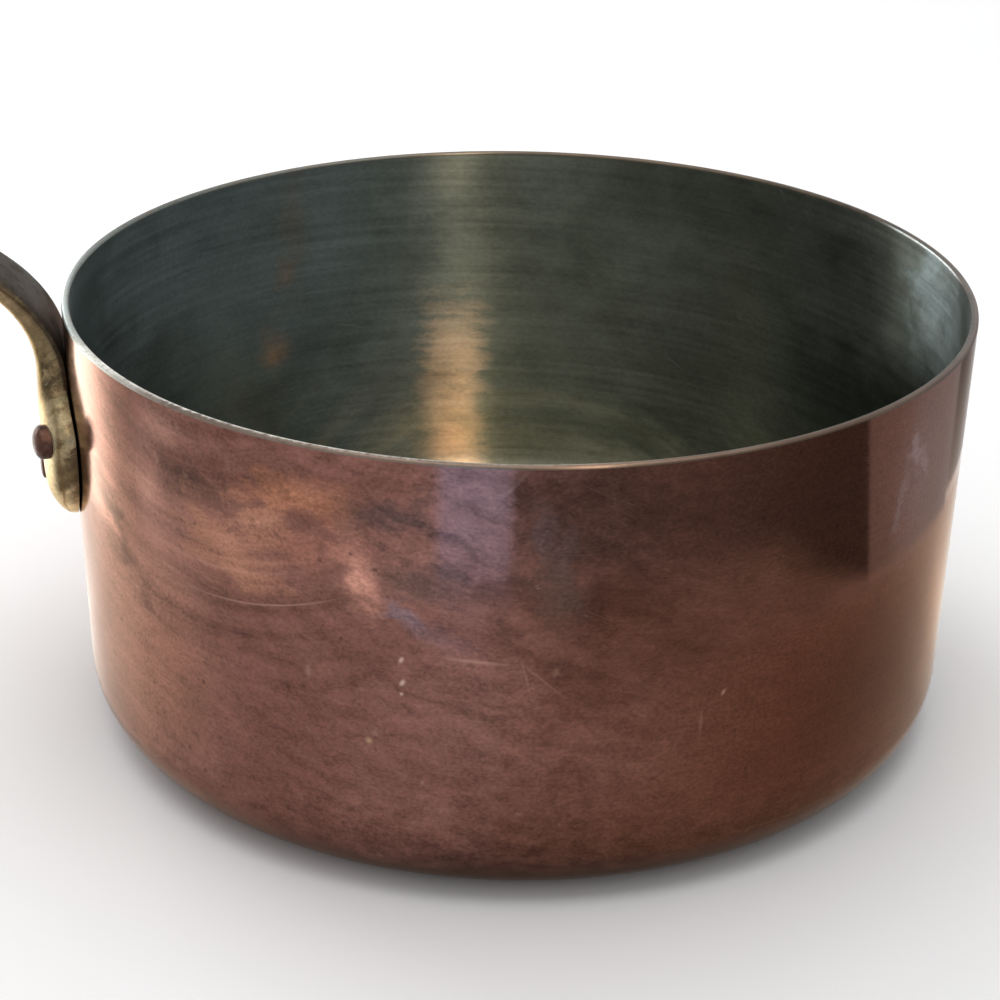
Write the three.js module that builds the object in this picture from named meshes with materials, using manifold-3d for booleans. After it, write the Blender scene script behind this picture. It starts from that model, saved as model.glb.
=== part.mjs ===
// A straight-sided copper saucepan: a tinned copper body, a cast brass handle and three copper rivets.
// Millimetres, +Z up. The origin is the centre of the base, and the handle points along -X.
import * as THREE from "three";
import { mergeVertices } from "three/addons/utils/BufferGeometryUtils.js";
import Module from "manifold-3d";

const wasm = await Module();
wasm.setup();
const degrees = THREE.MathUtils.degToRad;

// Pan body and lining
const RIM_RADIUS = 120;
const PAN_HEIGHT = 117;
const WALL_DRAFT = degrees(0.9);
const CORNER_RADIUS = 16.5;
const COPPER_THICKNESS = 1.75;
const TIN_THICKNESS = 0.25;
const BOND_GAP = 0.02;
const RIM_BEVEL = 0.2;

// Rivets: distances below the rim, and how far the upper pair stands to each side
const UPPER_RIVET_DROP = 33;
const LOWER_RIVET_DROP = 47;
const RIVET_SPREAD = 18;
const SHANK_RADIUS = 3.2;
const HEAD_RADIUS = 4.6;
const UPPER_HEAD_HEIGHT = 3.4;
const LOWER_HEAD_HEIGHT = 1.5;
const INNER_HEAD_RADIUS = 7.5;
const INNER_HEAD_HEIGHT = 2.8;
const HEAD_SIDE_SHARE = 0.3;
const HOLE_CLEARANCE = 0.3;
const SEAT_GAP = 0.3;

// Handle spine: up the wall, out through the bend, then along the gently arched grip
const PLATE_TIP_DROP = 59.7;
const BEND_START_DROP = 19.5;
const BEND_RADIUS = 36;
const GRIP_START_ANGLE = degrees(38);
const GRIP_END_ANGLE = degrees(12);
const GRIP_LENGTH = 195;

// Handle outline, as half widths, and its depth from the pan side to the far side
const PLATE_HALF_WIDTH = 25;
const PLATE_ROUND_LENGTH = 23;
const SHOULDER_LENGTH = 17;
const SHOULDER_BELOW_BEND = 12;
const NECK_HALF_WIDTH = 11.5;
const WAIST_HALF_WIDTH = 8.5;
const WAIST_SHARE = 0.3;
const END_HALF_WIDTH = 13;
const PLATE_DEPTH = 8;
const TIP_DEPTH = 2.2;
const TIP_ROUND_LENGTH = 18;
const NECK_DEPTH = 6.6;
const GRIP_DEPTH = 8.6;
const END_DEPTH = 6.4;

// How square the handle's section is (2 is round), and where its parting line lies in the depth
const PLATE_BACK_SQUARENESS = 8;
const GRIP_TOP_SQUARENESS = 2.6;
const FAR_SIDE_SQUARENESS = 3.4;
const PLATE_PARTING_SHARE = 0.12;
const GRIP_PARTING_SHARE = 0.3;

// Hanging eye, a teardrop that points towards the pan
const EYE_RADIUS = 6;
const EYE_LENGTH = 26;
const EYE_INSET = 7;

// Facets
const PAN_SEGMENTS = 72;
const ARC_STEPS = 4;
const RIVET_SEGMENTS = 20;
const SECTION_POINTS = 28;
const ROUND_END_STATIONS = 9;
const PLATE_STATIONS = 20;
const GRIP_STATIONS = 13;

// Metals
const COPPER = { color: 0x8a5142, roughness: 0.35, metalness: 1 };
const TIN = { color: 0x8d918a, roughness: 0.42, metalness: 1 };
const BRASS = { color: 0x8f7c4e, roughness: 0.4, metalness: 1 };
const RIVET_COPPER = { color: 0x6d4337, roughness: 0.45, metalness: 1 };

// Closed geometry to solid, and back
function toSolid(geometry) {
  const bare = geometry.clone();
  bare.deleteAttribute("normal");
  bare.deleteAttribute("uv");
  const merged = mergeVertices(bare, 1e-4);
  const corners = merged.index.array;
  const kept = [];
  for (let i = 0; i < corners.length; i += 3) {
    const [a, b, c] = corners.slice(i, i + 3);
    if (a !== b && b !== c && c !== a) kept.push(a, b, c);
  }
  return new wasm.Manifold(
    new wasm.Mesh({
      numProp: 3,
      vertProperties: merged.attributes.position.array,
      triVerts: new Uint32Array(kept),
    }),
  );
}

function toGeometry(solid) {
  const mesh = solid.getMesh();
  const geometry = new THREE.BufferGeometry();
  geometry.setAttribute("position", new THREE.BufferAttribute(mesh.vertProperties, 3));
  geometry.setIndex(new THREE.BufferAttribute(mesh.triVerts, 1));
  geometry.computeVertexNormals();
  return geometry;
}

// Revolves a profile of (radius, height) about Z
function revolve(path, segments) {
  const geometry = new THREE.LatheGeometry(path.getPoints(ARC_STEPS), segments);
  return geometry.rotateX(Math.PI / 2);
}

// Smooth step from one value to another as t runs from start to end
function ease(t, start, end, from, to) {
  return THREE.MathUtils.lerp(from, to, THREE.MathUtils.smoothstep(t, start, end));
}

// The wall's outer radius at a height, before the corner
function wallRadius(z) {
  return RIM_RADIUS - (PAN_HEIGHT - z) * Math.tan(WALL_DRAFT);
}

// The body's skin at a depth inside the outer surface. All skins share the corner's centre.
const cornerCentre =
  wallRadius(CORNER_RADIUS) - CORNER_RADIUS / Math.cos(WALL_DRAFT);
function skinRadius(depth, z) {
  return wallRadius(z) - depth / Math.cos(WALL_DRAFT);
}
function skinUpwards(path, depth, top) {
  const radius = CORNER_RADIUS - depth;
  path.lineTo(cornerCentre, depth);
  path.absarc(cornerCentre, CORNER_RADIUS, radius, -Math.PI / 2, -WALL_DRAFT, false);
  path.lineTo(skinRadius(depth, top), top);
}
function skinDownwards(path, depth, top) {
  const radius = CORNER_RADIUS - depth;
  path.lineTo(skinRadius(depth, top), top);
  path.absarc(cornerCentre, CORNER_RADIUS, radius, -WALL_DRAFT, -Math.PI / 2, true);
  path.lineTo(0, depth);
}

// A pan of one thickness. The copper one stops below the tin that is wiped over its rim.
function panShell(thickness, top) {
  const path = new THREE.Path();
  path.moveTo(0, 0);
  skinUpwards(path, 0, top);
  skinDownwards(path, thickness, top);
  return revolve(path, PAN_SEGMENTS);
}
const copperTop = PAN_HEIGHT - TIN_THICKNESS - BOND_GAP;

// Tin lining, which covers the inside and turns over the rim's top
const bondDepth = COPPER_THICKNESS + BOND_GAP;
const liningDepth = bondDepth + TIN_THICKNESS;
function tinLiningShell() {
  const rimShoulder = PAN_HEIGHT - RIM_BEVEL;
  const turnover = PAN_HEIGHT - TIN_THICKNESS;
  const outer = skinRadius(0, turnover);
  const inner = skinRadius(liningDepth, rimShoulder);
  const path = new THREE.Path();
  path.moveTo(0, bondDepth);
  skinUpwards(path, bondDepth, turnover);
  path.lineTo(outer, turnover);
  path.lineTo(outer, rimShoulder);
  path.lineTo(outer - RIM_BEVEL, PAN_HEIGHT);
  path.lineTo(inner + RIM_BEVEL, PAN_HEIGHT);
  skinDownwards(path, liningDepth, rimShoulder);
  return revolve(path, PAN_SEGMENTS);
}

// Handle spine in the (distance from the pan's axis, height) plane, along the side that faces the pan
const tipHeight = PAN_HEIGHT - PLATE_TIP_DROP;
const bendHeight = PAN_HEIGHT - BEND_START_DROP;
const gripRadius = GRIP_LENGTH / (GRIP_START_ANGLE - GRIP_END_ANGLE);
function handleSpine() {
  const backRadius = (z) => wallRadius(z) + SEAT_GAP / Math.cos(WALL_DRAFT);
  const bendStart = new THREE.Vector2(backRadius(bendHeight), bendHeight);
  const bendCentre = new THREE.Vector2(Math.cos(WALL_DRAFT), -Math.sin(WALL_DRAFT))
    .multiplyScalar(BEND_RADIUS)
    .add(bendStart);
  const outOfBend = new THREE.Vector2(-Math.sin(GRIP_START_ANGLE), Math.cos(GRIP_START_ANGLE));
  const gripCentre = outOfBend
    .clone()
    .multiplyScalar(BEND_RADIUS - gripRadius)
    .add(bendCentre);
  const spine = new THREE.Path();
  spine.moveTo(backRadius(tipHeight), tipHeight);
  spine.lineTo(bendStart.x, bendStart.y);
  spine.absarc(
    bendCentre.x, bendCentre.y, BEND_RADIUS,
    Math.PI - WALL_DRAFT, GRIP_START_ANGLE + Math.PI / 2, true,
  );
  spine.absarc(
    gripCentre.x, gripCentre.y, gripRadius,
    GRIP_START_ANGLE + Math.PI / 2, GRIP_END_ANGLE + Math.PI / 2, true,
  );
  return spine;
}
const spine = handleSpine();
const spineLength = spine.getLength();
const bendAt = (bendHeight - tipHeight) / Math.cos(WALL_DRAFT);
const gripAt = spineLength - GRIP_LENGTH;
const shoulderAt = bendAt - SHOULDER_BELOW_BEND;
const neckAt = shoulderAt + SHOULDER_LENGTH;
const waistAt = gripAt + WAIST_SHARE * GRIP_LENGTH;
const endRoundAt = spineLength - END_HALF_WIDTH;

// A quarter ellipse that rises from 0 to 1 as t runs from 0 to length
function roundUp(t, length) {
  const x = 1 - THREE.MathUtils.clamp(t / length, 0, 1);
  return Math.sqrt(1 - x * x);
}

function handleHalfWidth(t) {
  if (t < shoulderAt) return PLATE_HALF_WIDTH * roundUp(t, PLATE_ROUND_LENGTH);
  if (t < neckAt) return ease(t, shoulderAt, neckAt, PLATE_HALF_WIDTH, NECK_HALF_WIDTH);
  if (t < waistAt) return ease(t, gripAt, waistAt, NECK_HALF_WIDTH, WAIST_HALF_WIDTH);
  const flare = ease(t, waistAt, endRoundAt, WAIST_HALF_WIDTH, END_HALF_WIDTH);
  return flare * roundUp(spineLength - t, END_HALF_WIDTH);
}

function handleDepth(t) {
  const tip = THREE.MathUtils.lerp(TIP_DEPTH, PLATE_DEPTH, roundUp(t, TIP_ROUND_LENGTH));
  if (t < shoulderAt) return tip;
  if (t < gripAt) return ease(t, shoulderAt, gripAt, PLATE_DEPTH, NECK_DEPTH);
  if (t < waistAt) return ease(t, gripAt, waistAt, NECK_DEPTH, GRIP_DEPTH);
  return ease(t, waistAt, spineLength, GRIP_DEPTH, END_DEPTH);
}

// The casting's parting line lies near its pan side, and each side of it is half a rounded rectangle
function handleForm(t) {
  const depth = handleDepth(t);
  return {
    depth,
    halfWidth: handleHalfWidth(t),
    parting: depth * ease(t, shoulderAt, gripAt, PLATE_PARTING_SHARE, GRIP_PARTING_SHARE),
    panSquareness: ease(t, shoulderAt, gripAt, PLATE_BACK_SQUARENESS, GRIP_TOP_SQUARENESS),
  };
}

// One cross-section. On the plate it is bent round the pan, and the bend fades out towards the grip.
function handleSection(t) {
  const at = spine.getPointAt(t / spineLength);
  const along = spine.getTangentAt(t / spineLength);
  const panSide = new THREE.Vector2(-along.y, along.x);
  const { depth, halfWidth, parting, panSquareness } = handleForm(t);
  const bend = ease(t, bendAt, gripAt, 1 / at.x, 0);
  const ring = [];
  for (let i = 0; i < SECTION_POINTS; i++) {
    const angle = (2 * Math.PI * i) / SECTION_POINTS;
    const side = Math.cos(angle);
    const up = Math.sin(angle);
    const power = 2 / (up > 0 ? panSquareness : FAR_SIDE_SQUARENESS);
    const reach = up > 0 ? parting : depth - parting;
    const across = halfWidth * Math.sign(side) * Math.abs(side) ** power;
    const down = parting - reach * Math.sign(up) * Math.abs(up) ** power;
    const turn = across * bend;
    const sideways = bend > 0 ? (1 / bend + down) * Math.sin(turn) : across;
    const outwards = bend > 0 ? (1 / bend + down) * Math.cos(turn) - 1 / bend : down;
    const radius = at.x - panSide.x * outwards;
    const height = at.y - panSide.y * outwards;
    ring.push(new THREE.Vector3(-radius, sideways, height));
  }
  return ring;
}

// Stations close together where the outline turns: at the round tip, the shoulders and the round end
function handleStations() {
  const spread = (count, at) => Array.from({ length: count }, (_, i) => at(i / count));
  const roundEnd = (share) => 1 - Math.cos(THREE.MathUtils.lerp(degrees(4), Math.PI / 2, share));
  const tip = spread(ROUND_END_STATIONS, (share) => PLATE_ROUND_LENGTH * roundEnd(share));
  const plate = spread(PLATE_STATIONS, (share) =>
    THREE.MathUtils.lerp(PLATE_ROUND_LENGTH, gripAt, share),
  );
  const grip = spread(GRIP_STATIONS, (share) => THREE.MathUtils.lerp(gripAt, endRoundAt, share));
  const end = spread(ROUND_END_STATIONS, (share) => spineLength - END_HALF_WIDTH * roundEnd(share));
  return [...tip, ...plate, ...grip, endRoundAt, ...end.reverse()];
}

// Skins a list of rings of equal count, and closes both ends
function loft(rings) {
  const count = rings[0].length;
  const points = rings.flat();
  const faces = [];
  for (let r = 0; r + 1 < rings.length; r++) {
    for (let i = 0; i < count; i++) {
      const a = r * count + i;
      const b = r * count + ((i + 1) % count);
      faces.push(a, a + count, b, b, a + count, b + count);
    }
  }
  const last = (rings.length - 1) * count;
  for (let i = 1; i + 1 < count; i++) {
    faces.push(0, i, i + 1);
    faces.push(last, last + i + 1, last + i);
  }
  const geometry = new THREE.BufferGeometry().setFromPoints(points);
  geometry.setIndex(faces);
  return geometry;
}

// A teardrop prism through the grip's end, square to the handle
function hangingEye() {
  const roundAt = spineLength - EYE_INSET - EYE_RADIUS;
  const pointReach = EYE_LENGTH - EYE_RADIUS;
  const touch = Math.acos(EYE_RADIUS / pointReach);
  const outline = new THREE.Shape();
  outline.moveTo(-pointReach, 0);
  outline.lineTo(-EYE_RADIUS * Math.cos(touch), -EYE_RADIUS * Math.sin(touch));
  outline.absarc(0, 0, EYE_RADIUS, Math.PI + touch, Math.PI - touch, false);
  outline.closePath();
  const through = 4 * GRIP_DEPTH;
  const prism = new THREE.ExtrudeGeometry(outline, {
    depth: through,
    bevelEnabled: false,
    curveSegments: 3 * ARC_STEPS,
  });
  const at = spine.getPointAt(roundAt / spineLength);
  const along = spine.getTangentAt(roundAt / spineLength);
  const slope = Math.atan2(along.y, along.x);
  prism.translate(0, 0, -through / 2);
  prism.rotateY(-slope);
  prism.rotateZ(Math.PI);
  prism.translate(-at.x, 0, at.y);
  return prism;
}

// Rivets: each is drawn along its own +Z, from the pan's axis outwards through wall and plate
const rivets = [
  { name: "rivet_upper_left", drop: UPPER_RIVET_DROP, spread: -RIVET_SPREAD, dome: UPPER_HEAD_HEIGHT },
  { name: "rivet_upper_right", drop: UPPER_RIVET_DROP, spread: RIVET_SPREAD, dome: UPPER_HEAD_HEIGHT },
  { name: "rivet_lower", drop: LOWER_RIVET_DROP, spread: 0, dome: LOWER_HEAD_HEIGHT },
];

// Stands a mesh at a rivet's height and turns its +Z out of the wall there
function standAtRivet(mesh, rivet) {
  const z = PAN_HEIGHT - rivet.drop;
  mesh.rotation.set(0, Math.PI / 2, Math.PI + Math.asin(rivet.spread / wallRadius(z)), "ZYX");
  mesh.position.set(0, 0, z);
  mesh.updateMatrix();
  return mesh;
}

function rivetHole(rivet) {
  const radius = SHANK_RADIUS + HOLE_CLEARANCE;
  const length = 3 * (PLATE_DEPTH + liningDepth);
  const hole = new THREE.CylinderGeometry(radius, radius, length, RIVET_SEGMENTS);
  hole.rotateX(Math.PI / 2);
  return hole.translate(0, 0, wallRadius(PAN_HEIGHT - rivet.drop));
}

// The plate's depth under a rivet's centre
function plateDepthAt(rivet) {
  const { depth, halfWidth, parting } = handleForm((PLATE_TIP_DROP - rivet.drop) / Math.cos(WALL_DRAFT));
  const side = Math.abs(rivet.spread / halfWidth) ** FAR_SIDE_SQUARENESS;
  return parting + (depth - parting) * (1 - side) ** (1 / FAR_SIDE_SQUARENESS);
}

// A low dome inside the pan, the shank, and a peened dome on the plate
function rivetBlank(rivet) {
  const z = PAN_HEIGHT - rivet.drop;
  const innerSeat = skinRadius(liningDepth, z) - SEAT_GAP;
  const outerSeat = wallRadius(z) + SEAT_GAP + plateDepthAt(rivet);
  const innerSide = INNER_HEAD_HEIGHT * HEAD_SIDE_SHARE;
  const outerSide = rivet.dome * HEAD_SIDE_SHARE;
  const innerSkirt = innerSeat + liningDepth / 2;
  const outerSkirt = outerSeat - PLATE_DEPTH / 2;
  const path = new THREE.Path();
  path.moveTo(0, innerSeat - INNER_HEAD_HEIGHT);
  path.absellipse(
    0, innerSeat - innerSide, INNER_HEAD_RADIUS, INNER_HEAD_HEIGHT - innerSide,
    -Math.PI / 2, 0, false, 0,
  );
  path.lineTo(INNER_HEAD_RADIUS, innerSkirt);
  path.lineTo(SHANK_RADIUS, innerSkirt);
  path.lineTo(SHANK_RADIUS, outerSkirt);
  path.lineTo(HEAD_RADIUS, outerSkirt);
  path.lineTo(HEAD_RADIUS, outerSeat + outerSide);
  path.absellipse(
    0, outerSeat + outerSide, HEAD_RADIUS, rivet.dome - outerSide,
    0, Math.PI / 2, false, 0,
  );
  return revolve(path, RIVET_SEGMENTS);
}

// Each head's underside follows the surface below it, a seat gap away
const handleBlank = loft(handleStations().map(handleSection));
const wholeWall = panShell(liningDepth, PAN_HEIGHT);
function rivetGeometry(rivet, mesh) {
  const toRivet = mesh.matrix.clone().invert();
  const plate = handleBlank.clone().applyMatrix4(toRivet).translate(0, 0, SEAT_GAP);
  const wall = wholeWall.clone().applyMatrix4(toRivet).translate(0, 0, -SEAT_GAP);
  const seats = toSolid(plate).add(toSolid(wall)).subtract(toSolid(rivetHole(rivet)));
  return toGeometry(toSolid(rivetBlank(rivet)).subtract(seats));
}

// Assembly
const saucepan = new THREE.Group();
saucepan.name = "saucepan";
function addPiece(name, look) {
  const mesh = new THREE.Mesh(new THREE.BufferGeometry(), new THREE.MeshStandardMaterial(look));
  mesh.name = name;
  saucepan.add(mesh);
  return mesh;
}

const rivetMeshes = rivets.map((rivet) => standAtRivet(addPiece(rivet.name, RIVET_COPPER), rivet));
const holes = rivets.map((rivet, i) => toSolid(rivetHole(rivet).applyMatrix4(rivetMeshes[i].matrix)));
const drilled = (geometry) => holes.reduce((left, hole) => left.subtract(hole), toSolid(geometry));

rivets.forEach((rivet, i) => {
  rivetMeshes[i].geometry = rivetGeometry(rivet, rivetMeshes[i]);
});
addPiece("pan_body", COPPER).geometry = toGeometry(drilled(panShell(COPPER_THICKNESS, copperTop)));
addPiece("tin_lining", TIN).geometry = toGeometry(drilled(tinLiningShell()));
addPiece("handle", BRASS).geometry = toGeometry(drilled(handleBlank).subtract(toSolid(hangingEye())));

export default saucepan;
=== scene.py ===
import math

import bmesh
import bpy
from mathutils import Matrix, Vector


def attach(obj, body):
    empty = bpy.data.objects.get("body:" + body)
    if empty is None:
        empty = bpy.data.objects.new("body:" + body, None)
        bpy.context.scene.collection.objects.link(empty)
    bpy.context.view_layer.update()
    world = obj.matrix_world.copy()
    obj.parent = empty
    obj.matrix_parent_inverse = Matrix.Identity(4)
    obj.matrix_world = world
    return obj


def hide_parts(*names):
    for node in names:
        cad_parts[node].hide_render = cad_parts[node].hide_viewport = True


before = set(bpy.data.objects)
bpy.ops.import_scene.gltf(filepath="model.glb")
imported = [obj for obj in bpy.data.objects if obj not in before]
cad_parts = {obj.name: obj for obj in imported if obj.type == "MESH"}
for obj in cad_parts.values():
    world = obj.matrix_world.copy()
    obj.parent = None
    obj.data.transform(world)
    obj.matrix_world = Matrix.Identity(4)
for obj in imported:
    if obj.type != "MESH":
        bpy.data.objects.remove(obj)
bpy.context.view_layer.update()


# Studio.
# A pale floor under soft light, and the camera at the photograph's viewing angle: above the rim,
# a little to the right of square on to the handle, with a long lens.
def add_node(tree, kind, inputs=None, **settings):
    """A node with its settings, and its inputs set to values or joined to other nodes' outputs."""
    node = tree.nodes.new(kind)
    for name, value in settings.items():
        setattr(node, name, value)
    set_inputs(node, inputs or {})
    return node


def set_inputs(node, inputs):
    for name, value in inputs.items():
        if isinstance(value, bpy.types.NodeSocket):
            node.id_data.links.new(value, node.inputs[name])
        else:
            node.inputs[name].default_value = value


def tree_of(*values):
    """The node tree that holds the sockets among some values."""
    return next(value.id_data for value in values if isinstance(value, bpy.types.NodeSocket))


def calculate(operation, *values):
    inputs = dict(enumerate(values))
    return add_node(tree_of(*values), "ShaderNodeMath", inputs, operation=operation).outputs[0]


def vector_math(operation, *values, **named):
    inputs = {**dict(enumerate(values)), **named}
    node = add_node(tree_of(*inputs.values()), "ShaderNodeVectorMath", inputs, operation=operation)
    return node.outputs["Value" if operation in ("LENGTH", "DISTANCE") else 0]


def mix_colours(factor, first, second):
    inputs = {0: factor, 6: first, 7: second}
    tree = tree_of(factor, first, second)
    return add_node(tree, "ShaderNodeMix", inputs, data_type="RGBA").outputs[2]


def times(*values):
    product = values[0]
    for value in values[1:]:
        product = calculate("MULTIPLY", product, value)
    return product


def plus(first, *others):
    return calculate("ADD", first, plus(*others)) if others else first


def fade(value, low, high):
    """A smooth run from 0 where a value is low to 1 where it is high."""
    inputs = {"Value": value, "From Min": low, "From Max": high}
    return add_node(tree_of(value), "ShaderNodeMapRange", inputs,
                    interpolation_type="SMOOTHSTEP").outputs[0]


def new_material(name):
    """An empty node material, and its tree with a Principled BSDF joined to the output."""
    material = bpy.data.materials.new(name)
    material.use_nodes = True
    tree = material.node_tree
    tree.nodes.clear()
    shader = tree.nodes.new("ShaderNodeBsdfPrincipled")
    output = tree.nodes.new("ShaderNodeOutputMaterial")
    tree.links.new(shader.outputs[0], output.inputs["Surface"])
    return material, tree, shader


CAMERA_PLACE = (-0.08202, -0.54879, 0.31572)
CAMERA_TURN = -8.053
CAMERA_DIP = 25.414
CAMERA_ROLL = 0.904
camera_data = bpy.data.cameras.new("camera")
camera_data.sensor_width = 36
camera_data.lens = 79.45
camera = bpy.data.objects.new("camera", camera_data)
bpy.context.collection.objects.link(camera)
camera.matrix_world = (
    Matrix.Translation(CAMERA_PLACE)
    @ Matrix.Rotation(math.radians(CAMERA_TURN), 4, "Z")
    @ Matrix.Rotation(math.radians(90 - CAMERA_DIP), 4, "X")
    @ Matrix.Rotation(math.radians(CAMERA_ROLL), 4, "Z")
)
bpy.context.scene.camera = camera
bpy.context.scene.view_settings.view_transform = "Standard"

FLOOR_REACH = 30.0
FLOOR_DROP = 0.0003


def new_piece(name, points, edges, faces):
    """An object in the scene with a plain mesh."""
    mesh = bpy.data.meshes.new(name)
    mesh.from_pydata(points, edges, faces)
    piece = bpy.data.objects.new(name, mesh)
    bpy.context.collection.objects.link(piece)
    return piece


floor_corners = [(x * FLOOR_REACH, y * FLOOR_REACH, -FLOOR_DROP)
                 for x, y in ((-1, -1), (1, -1), (1, 1), (-1, 1))]
floor = new_piece("studio_floor", floor_corners, [], [(0, 1, 2, 3)])
floor_material, floor_tree, floor_shader = new_material("studio_floor_paint")


def seen_directly(tree):
    """1 for what the camera or a reflection sees, and 0 for light that only falls."""
    rays = add_node(tree, "ShaderNodeLightPath").outputs
    mirrored = calculate("MAXIMUM", rays["Is Glossy Ray"], rays["Is Transmission Ray"])
    return calculate("MAXIMUM", rays["Is Camera Ray"], mirrored)


def grey(level):
    return (level, level, level, 1)


floor_shows = seen_directly(floor_tree)
floor_place = add_node(floor_tree, "ShaderNodeTexCoord").outputs["Object"]
far_floor = times(fade(vector_math("LENGTH", floor_place), 0.4, 1.4), floor_shows)
near_colour = mix_colours(floor_shows, grey(0.82), grey(0.98))
set_inputs(floor_shader, {
    "Base Color": mix_colours(far_floor, near_colour, grey(0)),
    "Emission Color": mix_colours(far_floor, grey(0), grey(1)), "Emission Strength": 1,
    "Roughness": 0.9, "Specular IOR Level": 0.1})
floor.data.materials.append(floor_material)

world = bpy.data.worlds.new("studio")
bpy.context.scene.world = world
world.use_nodes = True
world_tree = world.node_tree
world_tree.nodes.clear()
AMBIENT_LEVEL = 0.55
strength = plus(AMBIENT_LEVEL, times(seen_directly(world_tree), 1.0 - AMBIENT_LEVEL))
background = add_node(world_tree, "ShaderNodeBackground", {"Color": grey(1), "Strength": strength})
add_node(world_tree, "ShaderNodeOutputWorld", {"Surface": background.outputs[0]})


def softbox(name, place, target, width, tall, watts, colour=(1, 1, 1), gloss_only=False):
    """A rectangular soft lamp that points from its place to its target."""
    data = bpy.data.lights.new(name, "AREA")
    data.shape = "RECTANGLE"
    data.size, data.size_y = width, tall
    data.energy = watts
    data.color = colour
    lamp = bpy.data.objects.new(name, data)
    lamp.location = place
    lamp.visible_diffuse = not gloss_only
    lamp.visible_camera = False
    lamp.rotation_euler = (Vector(target) - Vector(place)).to_track_quat("-Z", "Y").to_euler()
    bpy.context.collection.objects.link(lamp)


CARD_STEPS = 8


def card(name, tint, posts, near=220, far=220):
    """A card that only the metal's reflections see, as a studio uses to shape polished work.
    It bends round the pan and runs from one distance to another. Each post gives its turn in
    degrees at the near and the far edge, their heights in millimetres, and how light each is."""
    fine = []
    for first, last in zip(posts, posts[1:]):
        fine += [[a + (b - a) * step / CARD_STEPS for a, b in zip(first, last)]
                 for step in range(CARD_STEPS)]
    fine.append(posts[-1])
    count = len(fine)
    points, shades = [], []
    for edge, distance in ((0, near), (1, far)):
        for post in fine:
            turn = math.radians(post[edge])
            point = (distance * math.cos(turn), distance * math.sin(turn), post[2 + edge])
            points.append([measure / 1000 for measure in point])
            shades.append(post[4 + edge])
    faces = [(i, i + 1, i + 1 + count, i + count) for i in range(count - 1)]
    standing = new_piece(name, points, [], faces)
    standing.data.attributes.new("shade", "FLOAT", "POINT").data.foreach_set("value", shades)
    standing.visible_camera = standing.visible_diffuse = standing.visible_shadow = False
    material, tree, shader = new_material(name + "_face")
    shade = add_node(tree, "ShaderNodeAttribute", attribute_name="shade").outputs["Fac"]
    set_inputs(shader, {
        "Base Color": grey(0), "Specular IOR Level": 0,
        "Emission Color": vector_math("SCALE", tint, Scale=shade), "Emission Strength": 1})
    standing.data.materials.append(material)


softbox("top_softbox", (0, 0.1, 1.6), (0, 0, 0), 1.6, 1.6, 14)
softbox("window_softbox", (-0.75, 1.2, 0.42), (0, 0, 0.08), 0.9, 0.5, 8, (0.95, 0.98, 1))
softbox("warm_softbox", (0.13, -0.62, 0.8), (0, 0, 0.02), 0.08, 0.3, 3, (1, 0.84, 0.66),
        gloss_only=True)
card("left_card", (1, 0.97, 0.93), [
    (100, 100, 0, 100, 0.9, 0.9), (135, 135, 0, 100, 2.4, 3),
    (152, 152, 0, 100, 4, 5.4), (160, 160, 0, 100, 3.8, 5.4),
    (166, 166, 0, 100, 2.4, 3.2), (172, 172, 0, 100, 1.2, 1.5),
    (180, 180, 0, 100, 0.9, 0.9)])
card("left_floor_card", (1, 0.98, 0.95), [
    (100, 100, 1, 1, 0.8, 0.8), (135, 135, 1, 1, 1.3, 1.5),
    (160, 160, 1, 1, 1.7, 1.6), (170, 170, 1, 1, 1.4, 1.2),
    (185, 185, 1, 1, 1.1, 1), (205, 205, 1, 1, 0.8, 0.8)], near=123, far=219)
card("right_floor_card", (1, 0.95, 0.88), [
    (-100, -100, 1, 1, 0.55, 0.92), (-75, -75, 1, 1, 0.62, 0.88),
    (-45, -45, 1, 1, 0.62, 0.78), (-20, -20, 1, 1, 0.5, 0.72),
    (-8, -8, 1, 1, 0.6, 0.76), (6, 6, 1, 1, 1, 0.85),
    (30, 30, 1, 1, 1, 0.85), (60, 60, 1, 1, 0.8, 0.8)], near=123, far=219)
card("blue_card", (0.95, 1.25, 1.8), [
    (248.5, 248.5, 33, 150, 1, 1), (260.8, 260.8, 33, 150, 1, 1)])
card("dark_card", (1, 1, 1), [
    (261, 261, 56, 150, 0.42, 0.42), (276, 276, 54, 150, 0.34, 0.34),
    (294, 291, 44, 150, 0.34, 0.34), (310, 302, 38, 150, 0.26, 0.26),
    (321, 313, 24, 150, 0.2, 0.2), (336.4, 322, 6, 150, 0.17, 0.17)])
card("dark_card_foot", (1, 1, 1), [
    (261, 261, 38, 56, 0.7, 0.42), (276, 276, 34, 54, 0.7, 0.34),
    (294, 294, 24, 44, 0.7, 0.34), (310, 310, 22, 38, 0.7, 0.26),
    (321, 321, 15, 24, 0.5, 0.2), (336.4, 336.4, 4, 6, 0.2, 0.17)])
card("grey_card", (0.95, 1, 1.12), [
    (336.4, 322, 4, 150, 0.62, 0.5), (350, 346, 2, 150, 0.66, 0.5),
    (373, 368, 0, 150, 0.5, 0.44)])
card("edge_card", (1, 1, 1), [
    (372, 369, 6, 64, 0.5, 0.48), (375, 371, 6, 64, 0.4, 0.12),
    (382, 378, 6, 64, 0.45, 0.16), (402, 402, 6, 64, 0.8, 0.8)])
card("edge_card_head", (1, 1, 1), [
    (369, 368, 64, 150, 0.48, 0.44), (371, 370, 64, 150, 0.12, 0.7),
    (378, 378, 64, 150, 0.16, 0.8), (402, 402, 64, 150, 0.8, 0.9)])


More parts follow.
